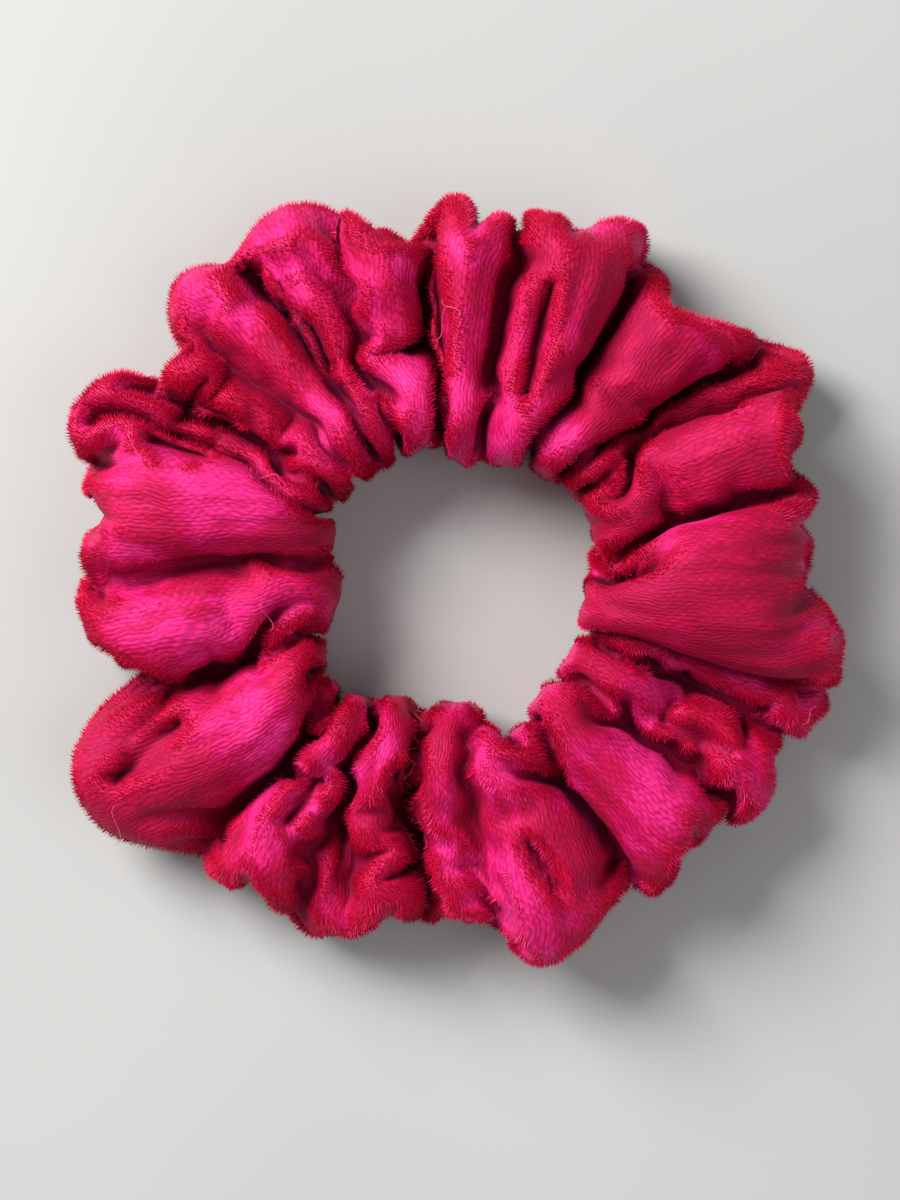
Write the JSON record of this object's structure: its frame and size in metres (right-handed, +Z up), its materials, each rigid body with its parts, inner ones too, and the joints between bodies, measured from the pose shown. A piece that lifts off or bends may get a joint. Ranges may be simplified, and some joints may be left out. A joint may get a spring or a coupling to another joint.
{
  "type": "scrunchie",
  "caption": "Velvet hair scrunchie: a cloth tube bunched into deep radial gathers on a loop of flat elastic, with a round opening that stretches open.",
  "frame": {"origin": "centre of the hole, on the surface that the scrunchie lies on", "axes": "+Z up, out of the hole; +Y is the way the loop is pulled open, away from the elastic's lap and the closing seam; +X to the right"},
  "size_m": [0.1096, 0.1096, 0.026],
  "materials": {
    "velvet": "crushed velour pile, crimson with a pink sheen",
    "elastic": "braided elastic",
    "white_thread": "polyester sewing thread",
    "red_thread": "polyester sewing thread"
  },
  "bodies": {
    "held_end": {"cover_gather_14": "velvet", "cover_gather_15": "velvet", "cover_gather_16": "velvet", "cover_gather_17": "velvet", "elastic_band": "elastic", "elastic_stitching": "white_thread", "side_seam_thread": "red_thread", "closing_seam_thread": "red_thread"},
    "gathers_a": {"cover_gather_13": "velvet", "cover_gather_18": "velvet"},
    "gathers_b": {"cover_gather_12": "velvet", "cover_gather_19": "velvet"},
    "gathers_c": {"cover_gather_11": "velvet", "cover_gather_20": "velvet"},
    "gathers_d": {"cover_gather_10": "velvet", "cover_gather_01": "velvet"},
    "gathers_e": {"cover_gather_09": "velvet", "cover_gather_02": "velvet"},
    "gathers_f": {"cover_gather_08": "velvet", "cover_gather_03": "velvet"},
    "pulled_end": {"cover_gather_04": "velvet", "cover_gather_05": "velvet", "cover_gather_06": "velvet", "cover_gather_07": "velvet"}
  },
  "joints": [
    {"name": "stretch", "type": "slide", "parent": "held_end", "child": "pulled_end", "axis": [0, 1, 0], "range_m": [0, 0.075], "stiffness_N_per_m": 125, "deforming": ["elastic_band", "side_seam_thread"]},
    {"name": "stretch_gathers_a", "type": "slide", "parent": "held_end", "child": "gathers_a", "axis": [0, 1, 0], "range_m": [0, 0.0065]},
    {"name": "stretch_gathers_b", "type": "slide", "parent": "held_end", "child": "gathers_b", "axis": [0, 1, 0], "range_m": [0, 0.0158]},
    {"name": "stretch_gathers_c", "type": "slide", "parent": "held_end", "child": "gathers_c", "axis": [0, 1, 0], "range_m": [0, 0.0299]},
    {"name": "stretch_gathers_d", "type": "slide", "parent": "held_end", "child": "gathers_d", "axis": [0, 1, 0], "range_m": [0, 0.0461]},
    {"name": "stretch_gathers_e", "type": "slide", "parent": "held_end", "child": "gathers_e", "axis": [0, 1, 0], "range_m": [0, 0.0602]},
    {"name": "stretch_gathers_f", "type": "slide", "parent": "held_end", "child": "gathers_f", "axis": [0, 1, 0], "range_m": [0, 0.0696]}
  ],
  "couplings": [
    {"joint": "stretch_gathers_a", "follows": "stretch", "ratio": 0.079},
    {"joint": "stretch_gathers_b", "follows": "stretch", "ratio": 0.204},
    {"joint": "stretch_gathers_c", "follows": "stretch", "ratio": 0.392},
    {"joint": "stretch_gathers_d", "follows": "stretch", "ratio": 0.608},
    {"joint": "stretch_gathers_e", "follows": "stretch", "ratio": 0.796},
    {"joint": "stretch_gathers_f", "follows": "stretch", "ratio": 0.921}
  ]
}
